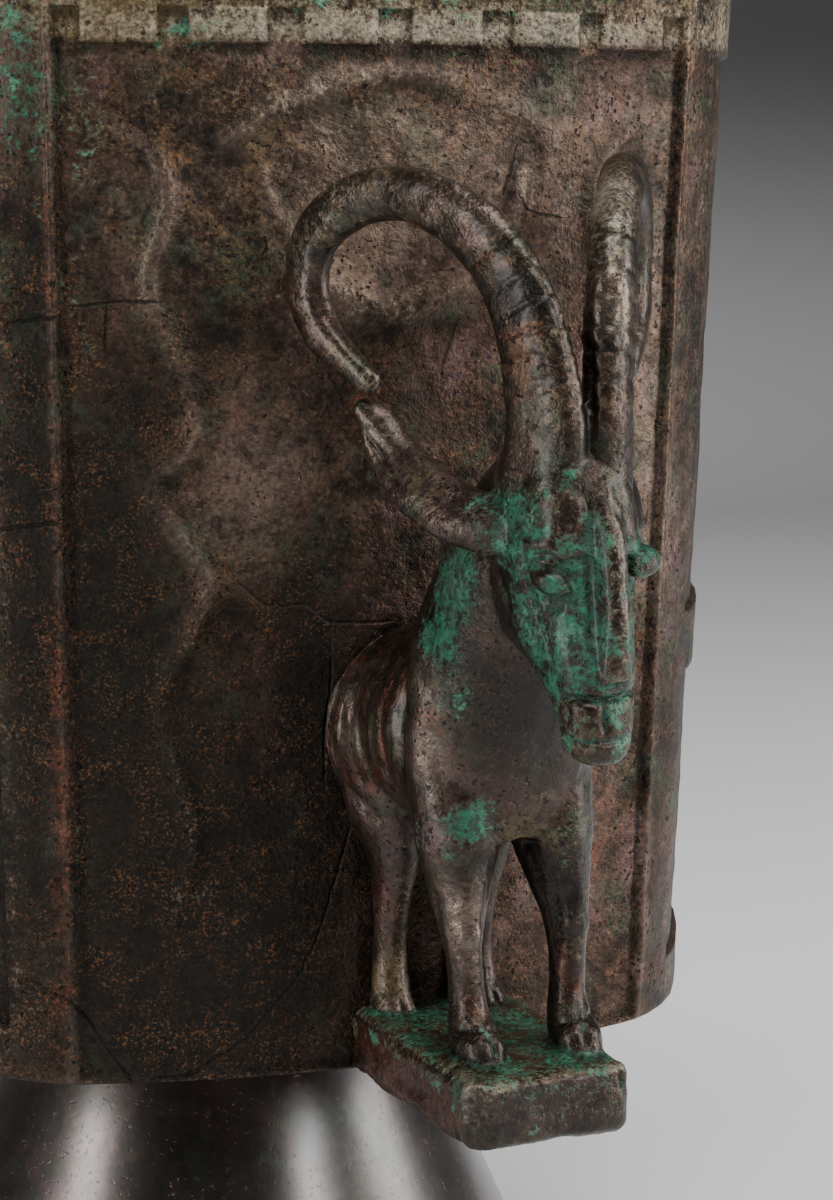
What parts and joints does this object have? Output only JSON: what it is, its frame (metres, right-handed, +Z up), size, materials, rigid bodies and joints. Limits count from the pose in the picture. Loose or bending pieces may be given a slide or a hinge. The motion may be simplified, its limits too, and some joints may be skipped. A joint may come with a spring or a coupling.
{
  "type": "bronze incense burner with ibex",
  "caption": "Cast bronze incense burner: an open cup with a bowed, framed facade in low relief, on a hollow conical foot, with an ibex standing on a plinth before it.",
  "frame": {"origin": "on the ground, under the middle of the part's width and depth, the ibex included", "axes": "+Z up, -Y towards the front that the ibex and the facade face, +X to the viewer's right of that front"},
  "size_m": [0.198, 0.2568, 0.276],
  "materials": {
    "dark_bronze": "dark brown matte bronze, pitted, with grey-green patina at the top",
    "worn_bronze": "smooth purple-brown bronze with a worn sheen",
    "patina_bronze": "olive brown bronze with bright green corrosion on the face and plinth"
  },
  "bodies": {
    "root": {"cup": "dark_bronze", "conical_foot": "worn_bronze", "ibex": "patina_bronze"}
  },
  "joints": []
}
